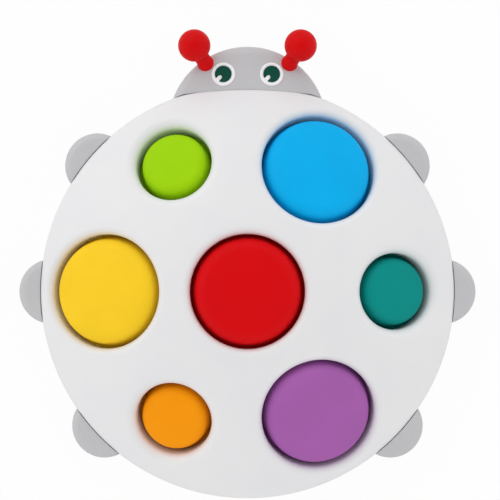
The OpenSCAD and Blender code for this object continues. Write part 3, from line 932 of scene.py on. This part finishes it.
root_end = math.sqrt(ROOT_R ** 2 - STALK_R ** 2)
fillet_z = STALK_LEN - math.sqrt((BALL_R + FILLET_R) ** 2 - (STALK_R + FILLET_R) ** 2)
fillet_turn = math.degrees(math.atan2(STALK_LEN - fillet_z, -(STALK_R + FILLET_R)))
antenna_profile = np.concatenate([
    arc((0, 0), ROOT_R, -90, math.degrees(math.atan2(root_end, STALK_R)), 24),
    line((STALK_R, root_end), (STALK_R, fillet_z), 6)[1:],
    arc((STALK_R + FILLET_R, fillet_z), FILLET_R, 180, fillet_turn, 8)[1:],
    arc((0, STALK_LEN), BALL_R, fillet_turn - 180, 90, 44)[1:]])
for side, sign in (("right", 1), ("left", -1)):
    turn = 90 - sign * ANTENNA_TURN
    outward = np.array([math.cos(math.radians(turn)), math.sin(math.radians(turn)), 0.0])
    seat = math.radians(ANTENNA_SEAT)
    root = (corner_r + HEAD_ROUND * math.cos(seat)) * outward
    root += [0, HEAD_Y, corner_z + HEAD_ROUND * math.sin(seat)]
    place = Place(root, 90 - ANTENNA_RISE, turn)
    make_piece("antenna_" + side + "_finished", [turned(antenna_profile, place, steps=72)],
               antenna_red, replaces=["antenna_" + side])

# %% [markdown]
# ## Floor, light and camera
# The photograph was taken from straight above on a white ground in even light, with the
# brighter side at the upper left. A white sky that is brighter towards its sides gives
# nearly all of the light, and a weak, very soft sun the rest. The floor is lifted towards
# white for the camera alone, so it doesn't brighten the toy and still shows a soft shadow.

# %% The floor
floor_mesh = bpy.data.meshes.new("floor")
FLOOR_REACH = 3.0
FLOOR_GREY = 0.86
FLOOR_LIFT = 0.95
floor_mesh.from_pydata([(-FLOOR_REACH, -FLOOR_REACH, 0), (FLOOR_REACH, -FLOOR_REACH, 0),
                        (FLOOR_REACH, FLOOR_REACH, 0), (-FLOOR_REACH, FLOOR_REACH, 0)],
                       [], [(0, 1, 2, 3)])
floor = bpy.data.objects.new("floor", floor_mesh)
bpy.context.scene.collection.objects.link(floor)

floor_white = bpy.data.materials.new("floor_white")
floor_white.use_nodes = True
tree = floor_white.node_tree
tree.nodes.clear()
matt = tree.nodes.new("ShaderNodeBsdfDiffuse")
matt.inputs["Color"].default_value = (FLOOR_GREY, FLOOR_GREY, FLOOR_GREY, 1)
bright = tree.nodes.new("ShaderNodeEmission")
bright.inputs["Color"].default_value = (1, 1, 1, 1)
bright.inputs["Strength"].default_value = 1.0
path = tree.nodes.new("ShaderNodeLightPath")
lift = tree.nodes.new("ShaderNodeMath")
lift.operation = "MULTIPLY"
lift.inputs[1].default_value = FLOOR_LIFT
tree.links.new(path.outputs["Is Camera Ray"], lift.inputs[0])
blend = tree.nodes.new("ShaderNodeMixShader")
tree.links.new(lift.outputs[0], blend.inputs["Fac"])
tree.links.new(matt.outputs["BSDF"], blend.inputs[1])
tree.links.new(bright.outputs["Emission"], blend.inputs[2])
out = tree.nodes.new("ShaderNodeOutputMaterial")
tree.links.new(blend.outputs["Shader"], out.inputs["Surface"])
floor_mesh.materials.append(floor_white)
print("floor", 2 * FLOOR_REACH, "m square")

# %% The light
SKY_SIDES = 1.1
SKY_TOP = 0.45
SKY_LOW_ANGLE = 42
SKY_HIGH_ANGLE = 72
KEY = 0.4
KEY_BEARING = 125
KEY_HEIGHT = 38
KEY_SPREAD = 60
world = bpy.data.worlds.new("studio")
bpy.context.scene.world = world
world.use_nodes = True
tree = world.node_tree
sky = tree.nodes["Background"]
sky.inputs["Color"].default_value = (1, 1, 1, 1)
rays = tree.nodes.new("ShaderNodeLightPath")
direction = tree.nodes.new("ShaderNodeTexCoord")
parts = tree.nodes.new("ShaderNodeSeparateXYZ")
tree.links.new(direction.outputs["Generated"], parts.inputs["Vector"])
height = tree.nodes.new("ShaderNodeMapRange")
height.interpolation_type = "SMOOTHSTEP"
height.inputs["From Min"].default_value = math.sin(math.radians(SKY_LOW_ANGLE))
height.inputs["From Max"].default_value = math.sin(math.radians(SKY_HIGH_ANGLE))
height.inputs["To Min"].default_value = SKY_SIDES
height.inputs["To Max"].default_value = SKY_TOP
tree.links.new(parts.outputs["Z"], height.inputs["Value"])
level = tree.nodes.new("ShaderNodeMix")
level.inputs["B"].default_value = 1.0
tree.links.new(rays.outputs["Is Camera Ray"], level.inputs["Factor"])
tree.links.new(height.outputs["Result"], level.inputs["A"])
tree.links.new(level.outputs["Result"], sky.inputs["Strength"])

lamp = bpy.data.lights.new("key", "SUN")
lamp.energy = KEY
lamp.angle = math.radians(KEY_SPREAD)
key = bpy.data.objects.new("key", lamp)
key.rotation_euler = (math.radians(90 - KEY_HEIGHT), 0, math.radians(KEY_BEARING + 90))
bpy.context.scene.collection.objects.link(key)
print("sky", SKY_SIDES, "at its sides and", SKY_TOP, "at its top, sun", KEY)

# %% [markdown]
# The camera stands 1.1 m above the rim of the body and looks straight down, with the head
# towards the top of the picture. The body isn't in the middle of the picture, so the
# lens is shifted by the share of the frame that the photograph shows.

# %% The camera
FRAME = 500
EYE_ABOVE_RIM = 1.1
RIM_HEIGHT = 0.017
SENSOR = 36.0
MM_PER_PIXEL = 0.43584
CENTRE_X, CENTRE_Y = 247.45, 291.5
camera_data = bpy.data.cameras.new("camera")
camera_data.sensor_width = SENSOR
camera_data.lens = SENSOR * EYE_ABOVE_RIM / (FRAME * MM_PER_PIXEL * MM)
camera_data.shift_x = (FRAME / 2 - CENTRE_X) / FRAME
camera_data.shift_y = (CENTRE_Y - FRAME / 2) / FRAME
camera_data.clip_end = 20
camera = bpy.data.objects.new("camera", camera_data)
camera.location = (0, 0, EYE_ABOVE_RIM + RIM_HEIGHT)
bpy.context.scene.collection.objects.link(camera)
bpy.context.scene.camera = camera
bpy.context.scene.view_settings.view_transform = "Standard"
print("lens", round(camera_data.lens, 1), "mm, shift", camera_data.shift_x,
      camera_data.shift_y)
